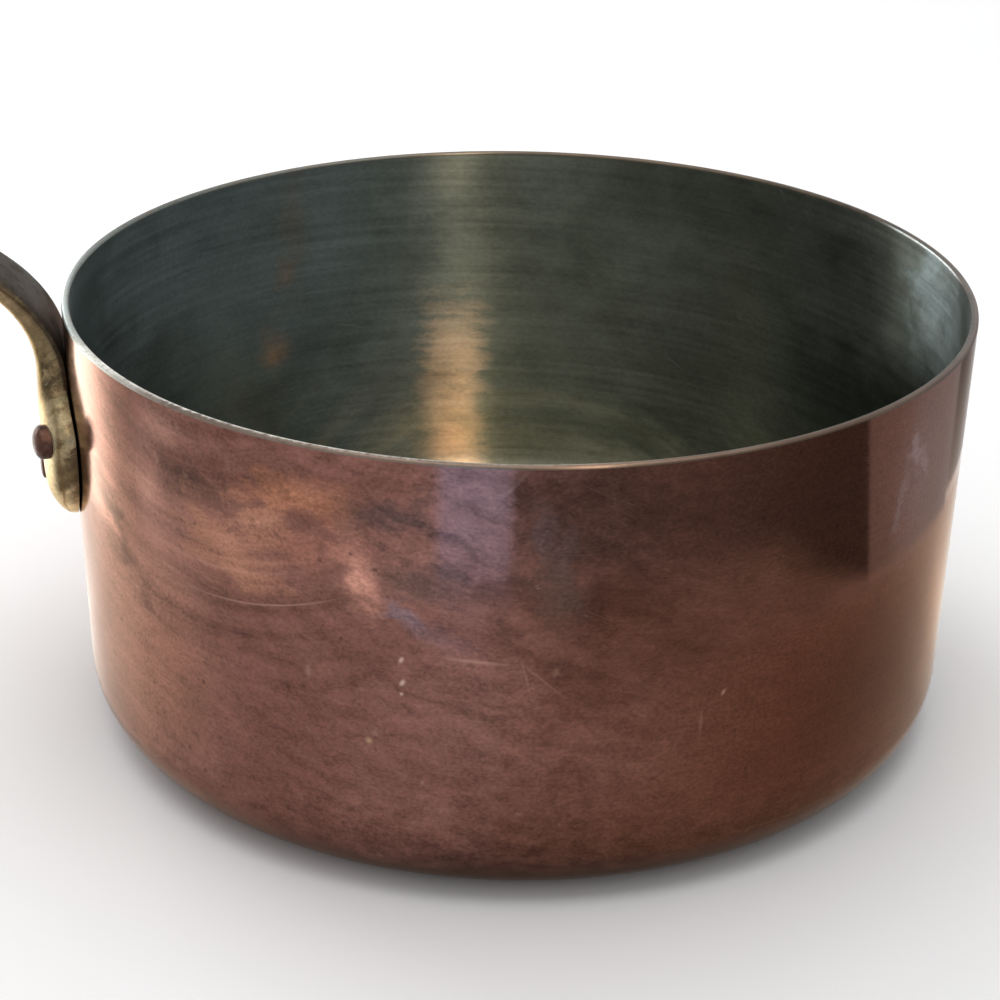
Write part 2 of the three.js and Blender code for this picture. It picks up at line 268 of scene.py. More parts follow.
# Copper body.
# The pan itself, spun from one copper sheet: flat base, rounded corner, wall with a slight draft.
# It was polished once. Heat and handling have left brown tarnish, fine lines and dings.
# Some patches on the wall are painted reflections and highlights, marked below; the rest is
# tarnish.
MM = 0.001
RIM_RADIUS = 120
PAN_HEIGHT = 117
WALL_DRAFT = math.radians(0.9)
CORNER_RADIUS = 16.5
COPPER_THICKNESS = 1.75
TIN_THICKNESS = 0.25
BOND_GAP = 0.02
RIM_ROUNDING = 0.7
PAN_SEGMENTS = 320


def wall_radius(height):
    return RIM_RADIUS - (PAN_HEIGHT - height) * math.tan(WALL_DRAFT)


def ellipse_arc(centre, across, up, start, end, steps):
    """Points along part of an ellipse, from one angle in degrees to another."""
    points = []
    for step in range(steps + 1):
        angle = math.radians(start + (end - start) * step / steps)
        points.append((centre[0] + across * math.cos(angle), centre[1] + up * math.sin(angle)))
    return points


def even_points(first, last, count):
    """Points between two ends of a straight stretch, without the ends."""
    shares = [i / (count + 1) for i in range(1, count + 1)]
    return [tuple(a + (b - a) * share for a, b in zip(first, last)) for share in shares]


def pan_skin(depth, top):
    """A skin of the pan at a depth inside its outer surface, from the axis up to a height."""
    centre = wall_radius(CORNER_RADIUS) - CORNER_RADIUS / math.cos(WALL_DRAFT)
    radius = CORNER_RADIUS - depth
    corner = ellipse_arc((centre, CORNER_RADIUS), radius, radius,
                         -90, -math.degrees(WALL_DRAFT), 14)
    wall_top = (wall_radius(top) - depth / math.cos(WALL_DRAFT), top)
    base = [(0, depth)] + even_points((0, depth), corner[0], 14)
    return base + corner + even_points(corner[-1], wall_top, 26) + [wall_top]


def minus(first, second):
    return calculate("SUBTRACT", first, second)


def size_of(value):
    return calculate("ABSOLUTE", value)


def new_group(name, inputs, outputs, kind="ShaderNodeTree"):
    """An empty node group with named sockets: its tree, its inputs and its output node."""
    group = bpy.data.node_groups.new(name, kind)
    for way, sockets in (("INPUT", inputs), ("OUTPUT", outputs)):
        for socket, data in sockets.items():
            group.interface.new_socket(socket, in_out=way, socket_type="NodeSocket" + data)
    return group, group.nodes.new("NodeGroupInput").outputs, group.nodes.new("NodeGroupOutput")


def point_at(x, y, z):
    return add_node(tree_of(x, y, z), "ShaderNodeCombineXYZ", {0: x, 1: y, 2: z}).outputs[0]


def noise(place, scale, detail, roughness=0.5):
    inputs = {"Vector": place, "Scale": scale, "Detail": detail, "Roughness": roughness}
    return add_node(place.id_data, "ShaderNodeTexNoise", inputs).outputs


def turned_tree():
    """Revolves a profile, given as a chain of points in the XZ plane, about the Z axis.
    Hand Waves lets the wall wander inwards a little, as a hand-finished sheet does."""
    tree, given, result = new_group(
        "turned_on_axis",
        {"Profile": "Geometry", "Segments": "Int", "Hand Waves": "Float", "Wave Scale": "Float",
         "Metal": "Material"},
        {"Piece": "Geometry"}, "GeometryNodeTree")
    count = add_node(tree, "GeometryNodeAttributeDomainSize", {"Geometry": given["Profile"]})
    rows = count.outputs["Point Count"]
    columns = plus(given["Segments"], 1)
    grid = add_node(tree, "GeometryNodeMeshGrid",
                    {"Size X": 1.0, "Size Y": 1.0, "Vertices X": columns, "Vertices Y": rows})
    index = tree.nodes.new("GeometryNodeInputIndex").outputs[0]
    row = calculate("MODULO", index, rows)
    column = calculate("FLOOR", calculate("DIVIDE", plus(index, 0.5), rows))
    sample = add_node(tree, "GeometryNodeSampleIndex",
                      {"Geometry": given["Profile"], "Index": row,
                       "Value": tree.nodes.new("GeometryNodeInputPosition").outputs[0]},
                      data_type="FLOAT_VECTOR", domain="POINT")
    across, _, up = add_node(tree, "ShaderNodeSeparateXYZ", {0: sample.outputs[0]}).outputs
    turn = times(calculate("DIVIDE", column, given["Segments"]), 2 * math.pi)
    cosine = calculate("COSINE", turn)
    sine = calculate("SINE", turn)
    wave_reach = RIM_RADIUS * MM
    place = point_at(times(cosine, wave_reach), times(sine, wave_reach), up)
    wander = times(noise(place, given["Wave Scale"], 2.0)[0], given["Hand Waves"])
    off_axis = calculate("GREATER_THAN", across, 1e-7)
    radius = minus(across, times(wander, off_axis))
    turned = point_at(times(radius, cosine), times(radius, sine), up)
    shape = grid.outputs["Mesh"]
    for step, inputs in (
            ("SetPosition", {"Position": turned}), ("MergeByDistance", {"Distance": 1e-7}),
            ("SetShadeSmooth", {}), ("RealizeInstances", {}),
            ("SetMaterial", {"Material": given["Metal"]})):
        shape = add_node(tree, "GeometryNode" + step, {"Geometry": shape, **inputs}).outputs[0]
    set_inputs(result, {"Piece": shape})
    return tree


def finish_nodes(piece):
    """Turns what a piece's Geometry Nodes make into its plain mesh."""
    seen = piece.evaluated_get(bpy.context.evaluated_depsgraph_get())
    mesh = bpy.data.meshes.new_from_object(seen)
    piece.modifiers.clear()
    piece.data = mesh


def turn_piece(name, profile, metal, segments, waves=0.0, wave_scale=20.0):
    """A turned piece from a profile of (radius, height) in millimetres."""
    piece = new_piece(name, [(r * MM, 0, z * MM) for r, z in profile],
                      [(i, i + 1) for i in range(len(profile) - 1)], [])
    modifier = piece.modifiers.new("turned", "NODES")
    modifier.node_group = TURNED
    values = {"Segments": segments, "Hand Waves": waves * MM, "Wave Scale": wave_scale,
              "Metal": metal}
    for socket in TURNED.interface.items_tree:
        if socket.in_out == "INPUT" and socket.name in values:
            modifier[socket.identifier] = values[socket.name]
    finish_nodes(piece)
    piece.data.materials.clear()
    piece.data.materials.append(metal)
    piece.data.polygons.foreach_set("material_index", [0] * len(piece.data.polygons))
    return piece


TURNED = turned_tree()
copper_top = PAN_HEIGHT - TIN_THICKNESS - BOND_GAP
rim_round_at = PAN_HEIGHT - RIM_ROUNDING
copper_rim = ellipse_arc((wall_radius(rim_round_at) - RIM_ROUNDING, rim_round_at),
                         RIM_ROUNDING, copper_top - rim_round_at, 0, 90, 6)
copper_profile = (pan_skin(0, rim_round_at - 0.1) + copper_rim
                  + pan_skin(COPPER_THICKNESS, copper_top)[::-1])


def paint(red, green, blue):
    """A colour as it is seen on a screen, 0 to 255, as the linear colour that shaders take."""
    def linear(value):
        value /= 255
        return value / 12.92 if value <= 0.04045 else ((value + 0.055) / 1.055) ** 2.4
    return (linear(red), linear(green), linear(blue), 1.0)


def clouds_group():
    """Cloudy or streaky variation. Size is the size of a cloud in metres along each turned axis."""
    group, given, result = new_group(
        "tarnish_clouds",
        {"Place": "Vector", "Turn": "Vector", "Size": "Vector", "Low": "Float", "High": "Float"},
        {"Mask": "Float"})
    turned = add_node(group, "ShaderNodeMapping", {
        "Vector": given["Place"], "Rotation": given["Turn"], "Scale": given["Size"]},
        vector_type="TEXTURE")
    cloud = noise(turned.outputs[0], 1.0, 8.0, 0.62)[0]
    set_inputs(result, {"Mask": fade(cloud, given["Low"], given["High"])})
    return group


def stain_group():
    """One stain round a centre. Reach is its size outwards, round the pan and up, Turn stands it
    on the wall there, and Fray breaks up its edge."""
    group, given, result = new_group(
        "stain",
        {"Place": "Vector", "Centre": "Vector", "Turn": "Vector", "Reach": "Vector",
         "Core": "Float", "Fray": "Float"},
        {"Mask": "Float"})
    on_wall = add_node(group, "ShaderNodeMapping", {
        "Vector": given["Place"], "Location": given["Centre"], "Rotation": given["Turn"],
        "Scale": given["Reach"]}, vector_type="TEXTURE")
    away = plus(vector_math("LENGTH", on_wall.outputs[0]), given["Fray"])
    set_inputs(result, {"Mask": fade(away, 1.0, given["Core"])})
    return group


def scratches_group():
    """Thin stray scratches that run along the turned X axis, broken up by a gate."""
    group, given, result = new_group(
        "stray_scratches",
        {"Place": "Vector", "Turn": "Vector", "Size": "Vector", "Width": "Float", "Gate": "Float"},
        {"Mask": "Float"})
    turned = add_node(group, "ShaderNodeMapping", {
        "Vector": given["Place"], "Rotation": given["Turn"], "Scale": given["Size"]},
        vector_type="TEXTURE")
    line = fade(size_of(minus(noise(turned.outputs[0], 1.0, 1.0)[0], 0.5)), given["Width"], 0.0)
    patches = noise(given["Place"], 55.0, 1.0)[0]
    open_gate = fade(patches, given["Gate"], plus(given["Gate"], 0.08))
    set_inputs(result, {"Mask": times(line, open_gate)})
    return group


def specks_group():
    """Small round specks, dings or pits. Share is the part of the cells that hold one."""
    group, given, result = new_group(
        "specks", {"Place": "Vector", "Size": "Float", "Share": "Float"}, {"Mask": "Float"})
    scaled = vector_math("SCALE", given["Place"], Scale=calculate("DIVIDE", 1.0, given["Size"]))
    cells = add_node(group, "ShaderNodeTexVoronoi", {"Vector": scaled, "Scale": 1.0}).outputs
    pick = add_node(group, "ShaderNodeSeparateColor", {0: cells["Color"]})
    chosen = calculate("LESS_THAN", pick.outputs[0], given["Share"])
    set_inputs(result, {"Mask": times(fade(cells["Distance"], 0.22, 0.1), chosen)})
    return group


def ragged_place(tree, size, amount):
    """Object coordinates, and the same pushed about by noise, so that edges come out ragged."""
    place = add_node(tree, "ShaderNodeTexCoord").outputs["Object"]
    push = vector_math("SUBTRACT", noise(place, 1 / size, 8.0, 0.62)["Color"], (0.5, 0.5, 0.5))
    return place, vector_math("ADD", place, vector_math("SCALE", push, Scale=amount))


CLOUDS = clouds_group()
STAIN = stain_group()
SCRATCHES = scratches_group()
SPECKS = specks_group()
LEVEL = (0, 0, 0)
STAIN_DEPTH = 20


def place_group(group, place, **inputs):
    inputs = {"Place": place, **{name.title(): value for name, value in inputs.items()}}
    return add_node(place.id_data, "ShaderNodeGroup", inputs, node_tree=group).outputs[0]


def clouds(place, turn, size, low, high):
    return place_group(CLOUDS, place, turn=turn, size=size, low=low, high=high)


def scratches(place, turn, size, width, gate):
    return place_group(SCRATCHES, place, turn=turn, size=size, width=width, gate=gate)


def specks(place, size, share):
    return place_group(SPECKS, place, size=size, share=share)


def centred(value, amount):
    """A mask from 0 to 1 as a swing of the given size about nothing."""
    return times(minus(value, 0.5), amount)


def lay(colour, tone, *masks):
    """Lays a screen colour over another colour, as far as the masks together let it show."""
    return mix_colours(times(*masks), colour, paint(*tone))


def stained(colour, place, fray, depth, stains, *gate):
    """Lays stains on a colour. Each has its colour, strength, turn in degrees, height, reach round
    and up in millimetres, tilt in degrees and core; depth is how far inside the outer wall they
    lie, and a gate lets only part of them show."""
    for stain, strength, turn, up, reach, reach_up, tilt, core in stains:
        radius = (wall_radius(up) - depth) * MM
        angle = math.radians(turn)
        mask = place_group(
            STAIN, place, core=core, fray=fray, turn=(math.radians(tilt), 0, angle),
            centre=(radius * math.cos(angle), radius * math.sin(angle), up * MM),
            reach=(max(reach, STAIN_DEPTH) * MM, reach * MM, reach_up * MM))
        colour = lay(colour, stain, mask, strength, *gate)
    return colour


copper, tree, shader = new_material("tarnished_copper")
place, ragged = ragged_place(tree, 0.012, 0.01)
across, back, height = add_node(tree, "ShaderNodeSeparateXYZ", {0: place}).outputs
polish = clouds(place, (0, 0.05, 0), (0.04, 0.04, 0.0009), 0.3, 0.7)
rubbing = clouds(ragged, (0, 0.35, 0), (0.016, 0.016, 0.004), 0.32, 0.68)
mottle = clouds(ragged, (0, -0.25, 0), (0.007, 0.007, 0.004), 0.3, 0.7)
grain = clouds(place, LEVEL, (0.001, 0.001, 0.0007), 0.25, 0.75)
drift = clouds(ragged, LEVEL, (0.06, 0.06, 0.045), 0.35, 0.65)
smoke = clouds(ragged, (0, 0.2, 0), (0.035, 0.035, 0.016), 0.48, 0.72)
fray = plus(centred(rubbing, 0.5), centred(mottle, 0.4))
used_side = fade(across, 0.05, -0.03)
worn = plus(0.2, times(used_side, 0.8))
soft_fray = times(fray, worn, 0.4)
swirl_turn = math.radians(222)
swirl_centre = (RIM_RADIUS * MM * math.cos(swirl_turn), RIM_RADIUS * MM * math.sin(swirl_turn),
                0.176)
from_swirl = vector_math("DISTANCE", place, swirl_centre)
swirl_place = point_at(times(across, 0.3), times(back, 0.3), from_swirl)
swirl = clouds(swirl_place, LEVEL, (0.02, 0.02, 0.005), 0.32, 0.68)
fine_swirl = clouds(swirl_place, LEVEL, (0.04, 0.04, 0.0007), 0.55, 0.75)
long_scratch = fade(size_of(minus(from_swirl, 0.1047)), 0.0003, 0.0001)
handle_side = fade(across, -0.03, -0.08)
swirl_side = times(handle_side, fade(from_swirl, 0.15, 0.11))
flecks = clouds(ragged, (0, 0.3, 0), (0.0036, 0.0036, 0.0016), 0.54, 0.7)

colour = mix_colours(drift, paint(129, 91, 83), paint(112, 76, 68))
colour = lay(colour, (117, 77, 62), fade(across, -0.02, 0.06))
colour = lay(colour, (90, 65, 57), smoke, used_side, 0.5)
colour = stained(colour, ragged, soft_fray, 0, (
    # Painted highlight: a pale patch for the bright reflection along the left edge.
    ((168, 126, 109), 0.6, 206, 60, 28, 66, 0, -0.2),
    ((170, 126, 110), 0.5, 217, 74, 26, 38, 0, -0.2),
    # Painted reflection: a dark wash that carries the dark card's reflection further down the wall.
    ((64, 39, 30), 0.65, 297, 77, 36, 17, 0, -0.2),
    ((158, 112, 97), 0.7, 216, 38, 36, 44, 0, -0.2),
    ((100, 70, 60), 0.45, 238, 62, 18, 16, 0, -0.2),
    # Painted reflection: a redder wash for a warm surface reflected low on the wall, over the
    # tarnish.
    ((94, 56, 42), 0.6, 298, 30, 80, 44, 0, -0.3),
    ((74, 51, 44), 0.75, 270, 96, 36, 28, 6, -0.3),
    ((86, 59, 51), 0.65, 290, 98, 60, 30, 8, -0.3),
    ((68, 42, 32), 0.85, 280, 70, 56, 34, 0, -0.3),
    ((66, 40, 30), 0.65, 271, 82, 28, 15, 0, -0.3),
    # Painted reflection: a redder wash for a warm surface reflected low on the wall, over the
    # tarnish.
    ((102, 66, 52), 0.5, 272, 22, 90, 26, 0, -0.3),
    # Painted reflection: a redder wash for a warm surface reflected low on the wall, over the
    # tarnish.
    ((74, 40, 28), 0.78, 306, 46, 62, 58, 0, 0),
    ((132, 102, 98), 0.75, 317, 98, 18, 40, 0, -0.2),
    # Painted highlight: a warm cream patch along the lower right edge.
    ((188, 134, 86), 0.75, 332, 44, 22, 48, 0, -0.2),
    ((150, 106, 88), 0.6, 30, 70, 50, 34, 8, -0.3),
    ((96, 70, 62), 0.6, 85, 80, 60, 26, 0, -0.3),
    ((160, 118, 100), 0.5, 130, 50, 46, 30, -6, -0.3),
))
colour = stained(colour, ragged, fray, 0, (
    ((84, 61, 55), 0.85, 222, 98, 15, 10, 6, 0),
    ((176, 134, 118), 0.6, 214.5, 91, 10, 16, 10, 0),
    ((188, 136, 114), 0.7, 232.5, 96, 16, 8, 4, 0),
    # Painted reflection: a dark diagonal band for the handle's shadow reflected in the wall.
    ((92, 66, 57), 0.8, 208, 74, 6, 34, 36, 0),
    ((92, 65, 56), 0.8, 202.5, 85, 7, 13, 20, 0),
    ((172, 117, 92), 0.85, 237, 103, 22, 8, 8, 0),
    ((176, 126, 104), 0.8, 228, 86, 24, 13, -14, 0),
    ((158, 108, 92), 0.6, 238, 91, 14, 8, 10, 0),
    # Painted highlight: pink flame-shaped patches.
    ((186, 132, 116), 0.8, 244.5, 87, 7, 15, 20, 0),
    ((206, 150, 132), 0.6, 244.6, 85, 7, 6, -40, 0),
    ((80, 65, 64), 0.8, 249, 103, 16, 7, 4, 0),
    ((98, 78, 74), 0.6, 251, 86, 16, 10, -10, 0),
    # Painted reflection: violet diagonal streaks below the blue card's reflection.
    ((140, 120, 130), 0.6, 249.8, 78, 9, 4, -34, 0),
    ((124, 98, 102), 0.45, 253.6, 72, 14, 5, -26, 0),
    ((134, 112, 112), 0.5, 264.6, 101, 4, 10, 4, 0),
    ((120, 98, 98), 0.45, 267.3, 96, 3.5, 10, -4, 0),
    ((164, 124, 110), 0.5, 217, 110, 17, 7, 6, 0),
    ((168, 142, 138), 0.55, 314.5, 103, 3, 9, 14, 0),
    ((160, 134, 130), 0.5, 317, 98, 2.5, 8, 22, 0),
    ((150, 122, 116), 0.4, 312, 92, 2.5, 14, -6, 0),
    ((100, 78, 70), 0.6, 266, 88, 9, 20, 0, 0),
))
# Darker towards the bottom of the wall, less so on the handle side.
darker_foot = fade(plus(height, centred(mottle, 0.006)), 0.026, 0.004)
darker_foot = times(darker_foot, minus(0.8, times(handle_side, 0.5)))
colour = lay(colour, (58, 38, 31), darker_foot)
shade = plus(1.0, times(centred(swirl, 0.4), swirl_side), times(centred(rubbing, 0.3), worn),
             times(centred(mottle, 0.26), worn), centred(grain, 0.46), centred(polish, 0.1))
colour = vector_math("SCALE", colour, Scale=shade)
colour = lay(colour, (76, 56, 50), flecks, used_side, 0.4)
fine = scratches(place, (0, 0.5, 0), (0.09, 0.09, 0.003), 0.004, 0.6)
cross = scratches(place, (0, -0.9, 0), (0.08, 0.08, 0.004), 0.004, 0.62)
scratch = calculate("MAXIMUM", fine, cross)
colour = lay(colour, (190, 156, 142), scratch, 0.14)
colour = stained(colour, ragged, 0.0, 0, (
    ((200, 160, 146), 0.25, 232, 74.5, 28, 12, 8, 0.3),
), long_scratch)
colour = stained(colour, ragged, 0.0, 0, (
    ((184, 142, 126), 0.35, 226, 76, 46, 20, 6, 0),
), fine_swirl)
colour = stained(colour, place, 0.0, 0, (
    ((180, 140, 128), 0.45, 257.3, 67.8, 11, 0.8, -4, 0),
    ((156, 126, 118), 0.45, 313, 101, 4, 1.6, -30, -0.4),
    ((150, 120, 114), 0.4, 315.5, 95, 5, 1.4, -35, -0.4),
    ((150, 112, 98), 0.25, 272, 108, 0.5, 6, 10, 0),
    ((150, 112, 98), 0.4, 263, 64, 0.5, 8, 14, 0),
    ((150, 112, 98), 0.4, 265, 63, 0.5, 11, 48, 0),
    ((196, 168, 158), 0.8, 249.2, 66.5, 0.8, 1.4, -30, 0),
    ((200, 172, 160), 0.8, 249.3, 60.5, 0.9, 1.5, -30, 0),
    ((196, 166, 154), 0.7, 249.2, 57.5, 0.7, 0.8, 0, 0),
    ((176, 148, 118), 0.7, 245.3, 43.5, 1.4, 1.3, 0, 0),
    ((150, 118, 110), 0.5, 238, 59, 1.2, 3, 0, 0),
    ((160, 126, 114), 0.6, 251.5, 34, 0.8, 0.8, 0, 0),
    ((170, 134, 118), 0.7, 286, 55, 0.8, 1.4, -30, 0),
    ((132, 98, 86), 0.6, 283.4, 48, 0.8, 5, 0, 0),
    ((48, 36, 34), 0.7, 243.6, 92, 0.9, 0.8, 0, 0),
))
dings = specks(ragged, 0.008, 0.04)
colour = lay(colour, (180, 146, 130), dings, 0.16)
pits = specks(place, 0.004, 0.12)
colour = lay(colour, (52, 36, 32), pits, 0.4)
tinned = fade(plus(height, centred(mottle, 0.0003)), 0.1164, 0.1166)
colour = lay(colour, (116, 98, 87), tinned)
relief = minus(plus(times(polish, 0.2), times(grain, 0.15)), plus(dings, times(scratch, 0.4)))


def bump(height, strength, distance):
    inputs = {"Strength": strength, "Distance": distance, "Height": height}
    return add_node(height.id_data, "ShaderNodeBump", inputs).outputs[0]


def round_axis(tree):
    return add_node(tree, "ShaderNodeTangent", direction_type="RADIAL", axis="Z").outputs[0]


set_inputs(shader, {
    "Base Color": colour, "Metallic": 1, "Specular Tint": (1, 0.87, 0.78, 1),
    "Roughness": plus(0.08, times(used_side, 0.05), times(mottle, worn, 0.05), times(grain, 0.03)),
    "Normal": bump(relief, 0.15, 0.00006),
    "Tangent": round_axis(tree), "Anisotropic": 0.6, "Anisotropic Rotation": 0.25})

pan_body = turn_piece("pan_body_copper", copper_profile, copper, PAN_SEGMENTS, 0.1)


def loft_faces(rows, count):
    """The faces of a closed solid through rows of points, with its two ends last."""
    faces = []
    for row in range(rows - 1):
        for i in range(count):
            a, b = row * count + i, row * count + (i + 1) % count
            faces.append((a, b, b + count, a + count))
    last = (rows - 1) * count
    return faces + [tuple(range(count))[::-1], tuple(range(last, last + count))]


def prism(name, outlines):
    """A closed solid through a row of outlines with equal numbers of points."""
    faces = loft_faces(len(outlines), len(outlines[0]))
    solid = new_piece(name, [point for outline in outlines for point in outline], [], faces)
    work = bmesh.new()
    work.from_mesh(solid.data)
    bmesh.ops.recalc_face_normals(work, faces=work.faces)
    work.to_mesh(solid.data)
    work.free()
    return solid


def cut_out(piece, cutters, sharp=40):
    """Cuts solids out of a piece, keeps the result as its mesh and removes the solids."""
    for cutter in cutters:
        modifier = piece.modifiers.new("cut", "BOOLEAN")
        modifier.operation = "DIFFERENCE"
        modifier.solver = "EXACT"
        modifier.object = cutter
    finish_nodes(piece)
    for cutter in cutters:
        bpy.data.objects.remove(cutter)
    piece.data.shade_smooth()
    piece.data.set_sharp_from_angle(angle=math.radians(sharp))


UPPER_RIVET_DROP = 33
LOWER_RIVET_DROP = 47
RIVET_SPREAD = 18
SHANK_RADIUS = 3.2
HOLE_CLEARANCE = 0.3
HOLE_START = 105
HOLE_END = 140
RIVETS = {
    "upper_left": (UPPER_RIVET_DROP, -RIVET_SPREAD),
    "upper_right": (UPPER_RIVET_DROP, RIVET_SPREAD),
    "lower": (LOWER_RIVET_DROP, 0),
}


def rivet_place(drop, spread):
    """Turns what stands on the XY plane to stand out of the wall, at a rivet's height and turn."""
    turn = math.pi + math.asin(spread / wall_radius(PAN_HEIGHT - drop))
    return (Matrix.Translation((0, 0, (PAN_HEIGHT - drop) * MM)) @ Matrix.Rotation(turn, 4, "Z")
            @ Matrix.Rotation(math.pi / 2, 4, "Y"))


def hole_cutters():
    cutters = []
    for drop, spread in RIVETS.values():
        radius = SHANK_RADIUS + HOLE_CLEARANCE
        circle = ellipse_arc((0, 0), radius, radius, 0, 350, 35)
        cutter = prism("hole_cutter", [
            [(x * MM, y * MM, end * MM) for x, y in circle] for end in (HOLE_START, HOLE_END)])
        cutter.data.transform(rivet_place(drop, spread))
        cutters.append(cutter)
    return cutters


cut_out(pan_body, hole_cutters())
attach(pan_body, "root")
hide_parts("pan_body")


# Tin lining.
# Molten tin wiped by hand over the whole inside and over the rim, a quarter of a millimetre thick.
# It is fused to the copper, and use has turned it a dull greenish grey with circular wipe marks.
# A warm streak on the far wall, paler patches and the bright front of the rim are painted light,
# marked below.
tin_depth = COPPER_THICKNESS + BOND_GAP + TIN_THICKNESS
tin_rim_outside = ellipse_arc((wall_radius(rim_round_at) - RIM_ROUNDING, rim_round_at),
                              RIM_ROUNDING, RIM_ROUNDING, 0, 90, 8)
inner_rim = wall_radius(rim_round_at) - tin_depth / math.cos(WALL_DRAFT)
tin_rim_inside = ellipse_arc((inner_rim + RIM_ROUNDING, rim_round_at),
                             RIM_ROUNDING, RIM_ROUNDING, 90, 180, 8)
tin_profile = (pan_skin(COPPER_THICKNESS + BOND_GAP, PAN_HEIGHT - TIN_THICKNESS)
               + copper_rim[::-1][1:] + tin_rim_outside[1:] + tin_rim_inside
               + pan_skin(tin_depth, rim_round_at - 0.1)[::-1])

tin, tree, shader = new_material("wiped_tin")
place, ragged = ragged_place(tree, 0.02, 0.014)
across, back, height = add_node(tree, "ShaderNodeSeparateXYZ", {0: place}).outputs
wiping = clouds(place, (0, 0.03, 0), (0.09, 0.09, 0.0016), 0.15, 0.85)
haze = clouds(ragged, LEVEL, (0.05, 0.05, 0.035), 0.35, 0.65)
mottle = clouds(ragged, LEVEL, (0.014, 0.014, 0.008), 0.3, 0.7)
grain = clouds(place, LEVEL, (0.0016, 0.0016, 0.001), 0.25, 0.75)
swing = vector_math("DISTANCE", place, (0.02, 0.11, -0.05))
swing_place = point_at(times(across, 0.25), times(back, 0.25), swing)
arcs = clouds(swing_place, LEVEL, (0.03, 0.03, 0.015), 0.36, 0.74)
on_floor = fade(height, 0.02, 0.004)
low_wall = fade(height, 0.06, 0.02)
fray = centred(mottle, 0.5)

right_side = fade(across, -0.07, 0.03)
colour = mix_colours(right_side, paint(108, 120, 120), paint(103, 107, 97))
colour = lay(colour, (130, 127, 108), on_floor)
colour = lay(colour, (158, 154, 130), arcs, low_wall, 0.7)
colour = stained(colour, place, centred(haze, 0.15), tin_depth, (
    ((62, 66, 58), 0.8, 62, 106, 40, 30, 0, -0.4),
    ((50, 56, 50), 0.95, 44, 108, 76, 46, 0, -0.4),
    ((48, 54, 48), 0.9, 28, 97, 36, 34, 0, -0.4),
    # Painted light: a paler patch that lifts the shade on the upper left wall.
    ((176, 192, 190), 0.5, 165, 97, 30, 30, 0, -0.4),
    ((90, 92, 76), 0.5, 74, 23, 24, 9, 0, -0.3),
    ((72, 80, 72), 0.75, 27, 62, 44, 46, 0, -0.2),
    # Painted light: a paler patch that lifts the shade on the lower left wall.
    ((180, 196, 194), 0.7, 152, 72, 62, 48, 0, -0.4),
    ((150, 152, 136), 0.4, 130, 48, 34, 26, 0, -0.4),
))
colour = stained(colour, ragged, fray, tin_depth, (
    # Painted reflection of window light on the right wall.
    ((166, 180, 178), 0.7, 2, 101, 25, 32, 0, 0),
    ((54, 62, 56), 0.6, 14, 74, 22, 20, 0, -0.2),
    # Painted reflection of window light on the right wall.
    ((166, 180, 178), 0.6, 7, 108, 16, 12, 0, 0),
    # Painted highlight at the top and the foot of the warm streak on the far wall.
    ((180, 180, 162), 0.25, 92.5, 110, 12, 13, 0, 0),
    ((144, 142, 116), 0.5, 92, 26, 24, 15, 0, 0),
    ((80, 82, 68), 0.6, 62, 25, 28, 13, 0, -0.2),
    ((196, 156, 120), 0.7, 122, 61, 9, 12, 0, -0.2),
    ((150, 122, 96), 0.5, 120, 84, 8, 9, 0, 0),
    ((122, 112, 98), 0.45, 118, 100, 9, 40, 0, 0),
    ((84, 88, 78), 0.7, 70, 90, 34, 34, 0, -0.3),
    # Painted reflection of window light on the right wall.
    ((150, 164, 162), 0.5, 355, 100, 20, 24, 0, 0),
))
# A warm vertical streak painted on the lower far wall as a highlight, over the lamp's own streak.
off_streak = size_of(plus(across, 0.004))
behind = fade(back, 0.05, 0.09)
ripple = clouds(ragged, (0, 0.1, 0), (0.02, 0.02, 0.004), 0.35, 0.65)
painted_streak_highlight = times(fade(plus(off_streak, centred(ripple, 0.005)), 0.0135, 0.004),
                  fade(plus(height, centred(ripple, 0.012)), 0.077, 0.043), behind)
painted_streak_highlight = times(painted_streak_highlight, plus(0.62, times(ripple, 0.38)))
colour = lay(colour, (220, 187, 154), painted_streak_highlight, 0.7)
shade = plus(1.0, centred(wiping, 0.24), centred(mottle, 0.12), centred(haze, 0.1),
             centred(grain, 0.22))
colour = vector_math("SCALE", colour, Scale=shade)
hairs = scratches(place, (0.3, 0.4, 0), (0.06, 0.06, 0.003), 0.006, 0.58)
colour = lay(colour, (150, 154, 146), hairs, 0.22)
worn = clouds(place, LEVEL, (0.012, 0.012, 0.01), 0.35, 0.7)
rim_right = fade(across, -0.112, 0.03)
# The rim is painted bright silver at the front, as lit, and darker round its sides and back:
# painted light.
rim_shaded_back = fade(back, -0.05, -0.025)
rim_colour = mix_colours(rim_shaded_back, paint(240, 240, 230), paint(112, 121, 117))
rim_colour = lay(rim_colour, (88, 80, 69), rim_right)
# Painted shade: the far right edge of the rim is darkened.
rim_colour = lay(rim_colour, (58, 58, 52), fade(across, 0.07, 0.112))
from_axis = vector_math("LENGTH", vector_math("MULTIPLY", place, (1, 1, 0)))
worn_edge = times(fade(plus(from_axis, centred(grain, 0.0008)), 0.1184, 0.1194),
                  fade(across, -0.115, -0.09))
rim_colour = lay(rim_colour, (100, 80, 69), worn_edge, 0.9)
glint = times(fade(from_axis, 0.1183, 0.1177), fade(across, 0.108, 0.115),
              fade(back, -0.014, -0.006))
rim_colour = lay(rim_colour, (232, 238, 234), glint, 0.85)
rim_colour = lay(rim_colour, (116, 100, 86), worn, 0.5)
rim_colour = lay(rim_colour, (96, 82, 70), fade(grain, 0.55, 0.8), 0.4)
colour = mix_colours(fade(height, 0.1158, 0.1166), colour, rim_colour)
relief = minus(plus(times(wiping, 0.5), times(arcs, low_wall, 0.5)), times(hairs, 0.4))
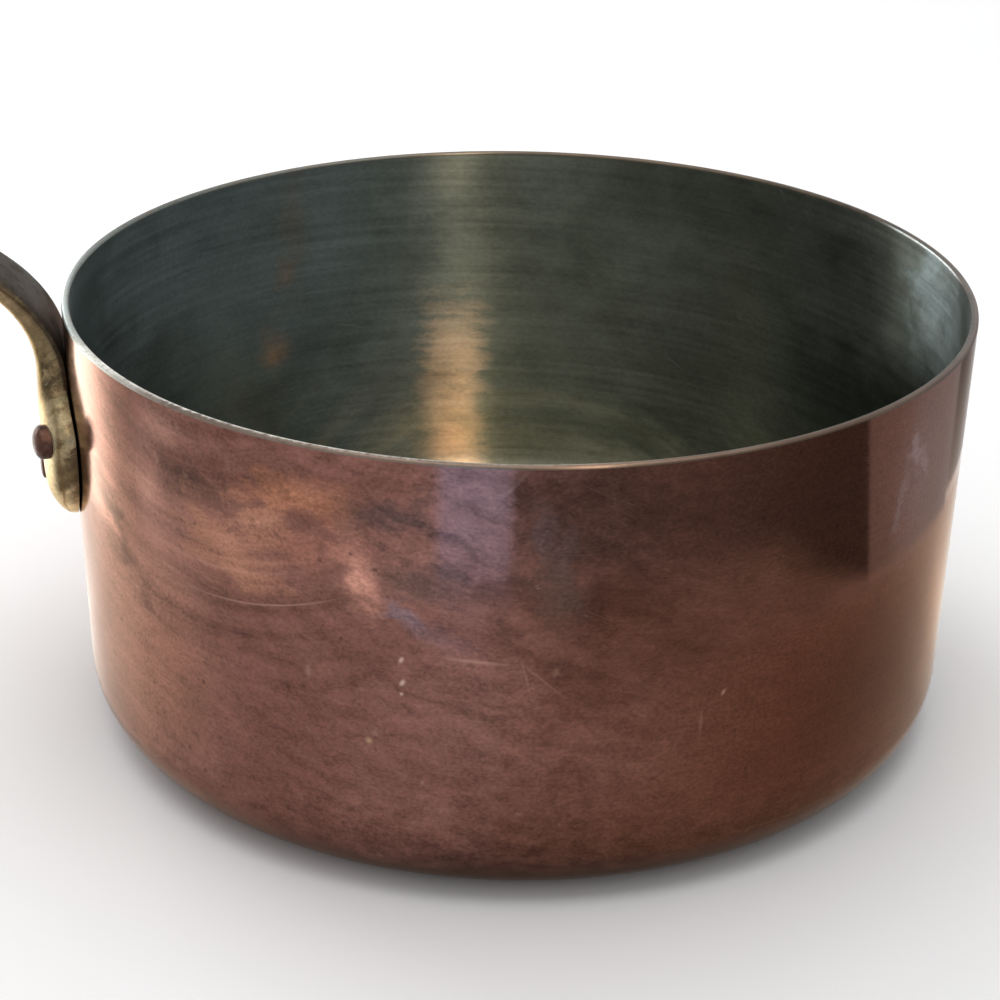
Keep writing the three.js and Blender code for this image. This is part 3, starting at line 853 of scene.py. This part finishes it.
set_inputs(shader, {
    "Base Color": colour, "Metallic": 1,
    "Roughness": plus(0.28, times(haze, 0.08), times(wiping, 0.06)),
    "Normal": bump(relief, 0.12, 0.0001),
    "Tangent": round_axis(tree), "Anisotropic": 0.95, "Anisotropic Rotation": 0.25})

tin_lining = turn_piece("tin_lining_wiped", tin_profile, tin, PAN_SEGMENTS, 0.1)
cut_out(tin_lining, hole_cutters())
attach(tin_lining, "root")
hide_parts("tin_lining")


# Handle.
# One brass casting: a plate curved to the wall, a neck, and an arched grip that ends in a teardrop
# eye. It was filed smooth, but its parting line still runs along the flanks.
SEAT_GAP = 0.12
PLATE_TIP_DROP = 59.7
BEND_START_DROP = 19.5
BEND_RADIUS = 36
GRIP_START_ANGLE = math.radians(38)
GRIP_END_ANGLE = math.radians(12)
GRIP_LENGTH = 194.95
PLATE_HALF_WIDTH = 25
PLATE_ROUND_LENGTH = 23
SHOULDER_LENGTH = 17
SHOULDER_BELOW_BEND = 12
NECK_HALF_WIDTH = 11.5
WAIST_HALF_WIDTH = 8.5
WAIST_SHARE = 0.3
END_HALF_WIDTH = 13
PLATE_DEPTH = 8
TIP_DEPTH = 2.2
TIP_ROUND_LENGTH = 18
NECK_DEPTH = 6.6
GRIP_DEPTH = 8.6
END_DEPTH = 6.4
PLATE_BACK_SQUARENESS = 8
GRIP_TOP_SQUARENESS = 2.6
FAR_SIDE_SQUARENESS = 3.4
PLATE_PARTING_SHARE = 0.04
GRIP_PARTING_SHARE = 0.3
EYE_RADIUS = 6
EYE_LENGTH = 26
EYE_INSET = 7
EYE_POINT_SPREAD = 1.6
PARTING_BEAD = 0.18
BEAD_RUN_IN = 6
TIP_BEVEL = 2
TIP_BEVEL_LENGTH = 12

bend_at = (PLATE_TIP_DROP - BEND_START_DROP) / math.cos(WALL_DRAFT)
bend_turn = math.pi / 2 - WALL_DRAFT - GRIP_START_ANGLE
grip_at = bend_at + BEND_RADIUS * bend_turn
spine_length = grip_at + GRIP_LENGTH
shoulder_at = bend_at - SHOULDER_BELOW_BEND
neck_at = shoulder_at + SHOULDER_LENGTH
waist_at = grip_at + WAIST_SHARE * GRIP_LENGTH
end_round_at = spine_length - END_HALF_WIDTH
grip_radius = GRIP_LENGTH / (GRIP_START_ANGLE - GRIP_END_ANGLE)


def spine(t):
    """How far the handle's pan side lies from the pan's axis at t, its height and its slope."""
    tip = PAN_HEIGHT - PLATE_TIP_DROP
    start = wall_radius(tip) + SEAT_GAP / math.cos(WALL_DRAFT)
    wall_slope = math.pi / 2 - WALL_DRAFT
    straight = min(t, bend_at)
    r = start + straight * math.cos(wall_slope)
    z = tip + straight * math.sin(wall_slope)
    slope = wall_slope
    for stretch, radius in ((min(t, grip_at) - bend_at, BEND_RADIUS), (t - grip_at, grip_radius)):
        if stretch > 0:
            turned = slope - stretch / radius
            r += radius * (math.sin(slope) - math.sin(turned))
            z += radius * (math.cos(turned) - math.cos(slope))
            slope = turned
    return r, z, slope


def ease(t, start, end, low, high):
    x = min(max((t - start) / (end - start), 0), 1)
    return low + (high - low) * x * x * (3 - 2 * x)


def round_up(t, length):
    x = 1 - min(max(t / length, 0), 1)
    return math.sqrt(1 - x * x)


def handle_half_width(t):
    if t < shoulder_at:
        return PLATE_HALF_WIDTH * round_up(t, PLATE_ROUND_LENGTH)
    if t < neck_at:
        return ease(t, shoulder_at, neck_at, PLATE_HALF_WIDTH, NECK_HALF_WIDTH)
    if t < waist_at:
        return ease(t, grip_at, waist_at, NECK_HALF_WIDTH, WAIST_HALF_WIDTH)
    flare = ease(t, waist_at, end_round_at, WAIST_HALF_WIDTH, END_HALF_WIDTH)
    return flare * round_up(spine_length - t, END_HALF_WIDTH)


def handle_depth(t):
    if t < shoulder_at:
        bevel = TIP_BEVEL * ease(t, 0, TIP_BEVEL_LENGTH, 1, 0)
        return TIP_DEPTH + (PLATE_DEPTH - TIP_DEPTH) * round_up(t, TIP_ROUND_LENGTH) - bevel
    if t < grip_at:
        return ease(t, shoulder_at, grip_at, PLATE_DEPTH, NECK_DEPTH)
    if t < waist_at:
        return ease(t, grip_at, waist_at, NECK_DEPTH, GRIP_DEPTH)
    return ease(t, waist_at, spine_length, GRIP_DEPTH, END_DEPTH)


def half_outline(half_width, reach, squareness, count):
    """Half a rounded rectangle from its right side over the middle to its left, evenly spaced."""
    fine = 240
    dense = []
    for i in range(fine + 1):
        angle = math.pi * i / fine
        side, up = math.cos(angle), math.sin(angle)
        power = 2 / squareness
        dense.append((half_width * math.copysign(abs(side) ** power, side), reach * up ** power))
    lengths = [0]
    for a, b in zip(dense, dense[1:]):
        lengths.append(lengths[-1] + math.dist(a, b))
    points = []
    j = 0
    for i in range(count):
        want = lengths[-1] * i / count
        while lengths[j + 1] < want:
            j += 1
        share = (want - lengths[j]) / (lengths[j + 1] - lengths[j])
        points.append(tuple(p + (q - p) * share for p, q in zip(dense[j], dense[j + 1])))
    return points


PAN_SIDE_POINTS = 30
FAR_SIDE_POINTS = 46
END_STEPS = 26
PLATE_STEPS = 60
GRIP_STEPS = 64
handle_shares = {"pan_side": [], "parting": [], "along": []}


def handle_ring(t):
    r, z, slope = spine(t)
    depth = handle_depth(t)
    half_width = handle_half_width(t)
    parting = depth * ease(t, shoulder_at, grip_at, PLATE_PARTING_SHARE, GRIP_PARTING_SHARE)
    square = ease(t, shoulder_at, grip_at, PLATE_BACK_SQUARENESS, GRIP_TOP_SQUARENESS)
    near = half_outline(half_width, parting, square, PAN_SIDE_POINTS)
    far = half_outline(half_width, depth - parting, FAR_SIDE_SQUARENESS, FAR_SIDE_POINTS)
    bead = PARTING_BEAD * ease(t, neck_at - BEAD_RUN_IN, grip_at, 0, 1)
    bead *= round_up(spine_length - t, END_HALF_WIDTH)
    near[0] = (near[0][0] + bead, near[0][1])
    far[0] = (far[0][0] + bead, far[0][1])
    section = [(u, parting - v) for u, v in near] + [(-u, parting + v) for u, v in far]
    bend = ease(t, bend_at, grip_at, 1 / r, 0)
    ring = []
    for i, (across, down) in enumerate(section):
        on_bead = bead > 0.01 and i in (0, PAN_SIDE_POINTS)
        handle_shares["pan_side"].append(1 - down / depth)
        handle_shares["parting"].append(1.0 if on_bead else 0.0)
        handle_shares["along"].append(t / spine_length)
        sideways, outwards = across, down
        if bend > 1e-9:
            sideways = (1 / bend + down) * math.sin(across * bend)
            outwards = (1 / bend + down) * math.cos(across * bend) - 1 / bend
        ring.append((-(r + math.sin(slope) * outwards) * MM, sideways * MM,
                     (z - math.cos(slope) * outwards) * MM))
    return ring


def handle_stations():
    first = math.radians(2.5)
    round_end = [1 - math.cos(first + (math.pi / 2 - first) * i / END_STEPS)
                 for i in range(END_STEPS)]
    tip = [PLATE_ROUND_LENGTH * share for share in round_end]
    plate = [PLATE_ROUND_LENGTH + (grip_at - PLATE_ROUND_LENGTH) * i / PLATE_STEPS
             for i in range(PLATE_STEPS)]
    grip = [grip_at + (end_round_at - grip_at) * i / GRIP_STEPS for i in range(GRIP_STEPS + 1)]
    end = [spine_length - END_HALF_WIDTH * share for share in round_end]
    return tip + plate + grip + end[::-1]


rings = [handle_ring(t) for t in handle_stations()]
handle = new_piece("handle_cast_brass", [point for ring in rings for point in ring], [],
                   loft_faces(len(rings), PAN_SIDE_POINTS + FAR_SIDE_POINTS))
for name, shares in handle_shares.items():
    handle.data.attributes.new(name, "FLOAT", "POINT").data.foreach_set("value", shares)


def eye_cutter():
    """The teardrop hanging eye, with its edges broken on both faces."""
    centre_at = spine_length - EYE_INSET - EYE_RADIUS
    r, z, slope = spine(centre_at)
    depth = handle_depth(centre_at)
    outlines = []
    broken_edge = ((-2, 2.4), (-0.2, 0.9), (0.3, 0.45), (1.1, 0.08), (1.6, 0))
    far_edge = [(depth - down, spare) for down, spare in broken_edge[::-1]]
    for down, spare in [*broken_edge, *far_edge]:
        radius = EYE_RADIUS + spare
        point = EYE_LENGTH - EYE_RADIUS + EYE_POINT_SPREAD * spare
        touch = math.degrees(math.acos(radius / point))
        outline = ellipse_arc((0, 0), radius, radius, touch, 360 - touch, 40)
        tip = (point, 0)
        outline += even_points(outline[-1], tip, 6) + [tip] + even_points(tip, outline[0], 6)
        outlines.append([
            (-(r - a * math.cos(slope) + math.sin(slope) * down) * MM, b * MM,
             (z - a * math.sin(slope) - math.cos(slope) * down) * MM) for a, b in outline])
    return prism("eye_cutter", outlines)


cut_out(handle, hole_cutters() + [eye_cutter()])

brass, tree, shader = new_material("cast_brass")
place, ragged = ragged_place(tree, 0.006, 0.006)
pan_side, parting_line, along = (
    add_node(tree, "ShaderNodeAttribute", attribute_name=name).outputs["Fac"]
    for name in handle_shares)
filing = clouds(place, (0, -0.45, 0), (0.02, 0.0016, 0.0016), 0.25, 0.75)
mottle = clouds(ragged, (0, -0.6, 0), (0.02, 0.012, 0.01), 0.38, 0.62)
blotch = clouds(ragged, LEVEL, (0.007, 0.007, 0.007), 0.48, 0.66)
browning = clouds(ragged, (0, 0.5, 0), (0.012, 0.01, 0.016), 0.45, 0.6)
grain = clouds(place, LEVEL, (0.0011, 0.0011, 0.0011), 0.25, 0.75)
colour = mix_colours(mottle, paint(92, 80, 58), paint(140, 124, 94))
colour = lay(colour, (104, 80, 58), browning, 0.7)
colour = lay(colour, (66, 61, 42), blotch, 0.65)
# The first band, at the plate's tip, is a painted highlight over the worn brass there.
for middle, reach, strength, tone in (
        (0.0, 0.06, 0.85, (226, 200, 160)), (0.086, 0.02, 0.7, (66, 55, 40)),
        (0.116, 0.018, 0.5, (160, 146, 114)),
        (0.155, 0.028, 0.85, (62, 52, 38)), (0.225, 0.05, 0.55, (80, 66, 48))):
    off_middle = size_of(minus(plus(along, centred(mottle, 0.03)), middle))
    band = fade(off_middle, reach, reach * 0.3)
    colour = lay(colour, tone, band, strength)
lower_flank = times(fade(pan_side, 0.7, 0.5), fade(along, 0.18, 0.26))
colour = lay(colour, (156, 136, 106), lower_flank, 0.5)
face_edge = plus(pan_side, centred(mottle, 0.08))
# Painted highlight: the plate's front face is laid pale cream, as if it catches the light.
painted_plate_highlight = times(fade(face_edge, 0.4, 0.22), fade(along, 0.15, 0.1))
colour = lay(colour, (206, 188, 154), painted_plate_highlight, 0.85)
face_line = times(fade(size_of(minus(face_edge, 0.44)), 0.07, 0.02),
                  fade(along, 0.15, 0.1))
colour = lay(colour, (104, 78, 54), face_line, 0.6)
grime_edge = plus(pan_side, centred(browning, 0.08))
handled = plus(fade(along, 0.75, 0.35), times(blotch, 0.25))
grime = times(fade(grime_edge, 0.72, 0.93), fade(along, 0.12, 0.2), fade(handled, 0.0, 0.7))
colour = lay(colour, (56, 52, 48), grime, 0.9)
colour = lay(colour, (48, 40, 30), parting_line, 0.75)
shade = plus(1.0, centred(filing, 0.3), centred(grain, 0.4))
colour = vector_math("SCALE", colour, Scale=shade)
rub = scratches(place, (0, -0.7, 0), (0.05, 0.0022, 0.0022), 0.01, 0.55)
pits = specks(place, 0.0022, 0.16)
colour = lay(colour, (206, 190, 150), rub, 0.2)
colour = lay(colour, (44, 38, 28), pits, 0.6)
relief = minus(plus(times(filing, 0.4), times(mottle, 0.4), times(grain, 0.4)),
               plus(pits, times(rub, 0.3)))
set_inputs(shader, {
    "Base Color": colour, "Metallic": minus(1.0, times(grime, 0.9)),
    "Specular IOR Level": 0.12, "Specular Tint": (0.74, 0.66, 0.54, 1),
    "Roughness": plus(0.32, times(blotch, 0.14), times(grime, 0.2)),
    "Normal": bump(relief, 0.4, 0.00015)})
handle.data.materials.clear()
handle.data.materials.append(brass)
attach(handle, "root")
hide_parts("handle")


# Rivets.
# Three copper rivets through plate and wall: a broad low head inside the pan, a shank, and a head
# peened over the plate by hammer. The lower one was struck flatter.
HEAD_RADIUS = 4.6
HEAD_HEIGHTS = {"upper_left": 3.4, "upper_right": 3.4, "lower": 1.5}
INNER_HEAD_RADIUS = 7.5
INNER_HEAD_HEIGHT = 2.8
HEAD_SIDE_SHARE = 0.3
HEAD_SINK = 1.2
SHANK_END_SINK = 1.5
INNER_HEAD_SINK = 0.2
HAMMER_DENTS = 0.22
DENT_SCALE = 250.0
RIVET_SEGMENTS = 64
RIVET_EDGE_ANGLE = 50


def plate_depth_at(drop, spread):
    t = (PLATE_TIP_DROP - drop) / math.cos(WALL_DRAFT)
    depth = handle_depth(t)
    parting = depth * PLATE_PARTING_SHARE
    side = abs(spread / handle_half_width(t)) ** FAR_SIDE_SQUARENESS
    return parting + (depth - parting) * (1 - side) ** (1 / FAR_SIDE_SQUARENESS)


rivet_copper, tree, shader = new_material("peened_copper")
place, ragged = ragged_place(tree, 0.003, 0.003)
patina = clouds(ragged, LEVEL, (0.004, 0.004, 0.004), 0.35, 0.65)
blow = clouds(place, LEVEL, (0.0016, 0.0016, 0.0016), 0.35, 0.7)
colour = mix_colours(patina, paint(82, 58, 50), paint(56, 41, 36))
colour = lay(colour, (104, 76, 66), blow, 0.3)
pits = specks(place, 0.0012, 0.18)
colour = lay(colour, (38, 28, 25), pits, 0.6)
from_axis = vector_math("LENGTH", vector_math("MULTIPLY", place, (1, 1, 0)))
tinned = fade(from_axis, 0.119, 0.117)
tin_colour = mix_colours(patina, paint(190, 192, 184), paint(140, 140, 130))
colour = mix_colours(tinned, colour, tin_colour)
relief = minus(times(blow, 0.8), pits)
set_inputs(shader, {
    "Base Color": colour, "Metallic": 1, "Roughness": plus(0.4, times(patina, 0.18)),
    "Normal": bump(relief, 0.4, 0.00015)})

for name, (drop, spread) in RIVETS.items():
    dome = HEAD_HEIGHTS[name]
    wall = wall_radius(PAN_HEIGHT - drop)
    inner_seat = wall - tin_depth / math.cos(WALL_DRAFT) - SEAT_GAP
    outer_seat = wall + SEAT_GAP + plate_depth_at(drop, spread)
    inner_side = INNER_HEAD_HEIGHT * HEAD_SIDE_SHARE
    outer_side = dome * HEAD_SIDE_SHARE
    inner_head = ellipse_arc((0, inner_seat - inner_side), INNER_HEAD_RADIUS,
                             INNER_HEAD_HEIGHT - inner_side, -90, 0, 18)
    outer_head = ellipse_arc((0, outer_seat + outer_side), HEAD_RADIUS,
                             dome - outer_side, 0, 90, 18)
    inner_head[0] = (0, inner_head[0][1])
    outer_head[-1] = (0, outer_head[-1][1])
    profile = inner_head + [
        (INNER_HEAD_RADIUS, inner_seat + INNER_HEAD_SINK),
        (SHANK_RADIUS, inner_seat + INNER_HEAD_SINK),
        (SHANK_RADIUS, outer_seat - SHANK_END_SINK),
        (HEAD_RADIUS, outer_seat - HEAD_SINK)] + outer_head
    piece = turn_piece("rivet_" + name + "_peened", profile, rivet_copper, RIVET_SEGMENTS,
                       HAMMER_DENTS, DENT_SCALE)
    piece.data.transform(rivet_place(drop, spread))
    piece.data.shade_smooth()
    piece.data.set_sharp_from_angle(angle=math.radians(RIVET_EDGE_ANGLE))
    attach(piece, "root")
    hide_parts("rivet_" + name)
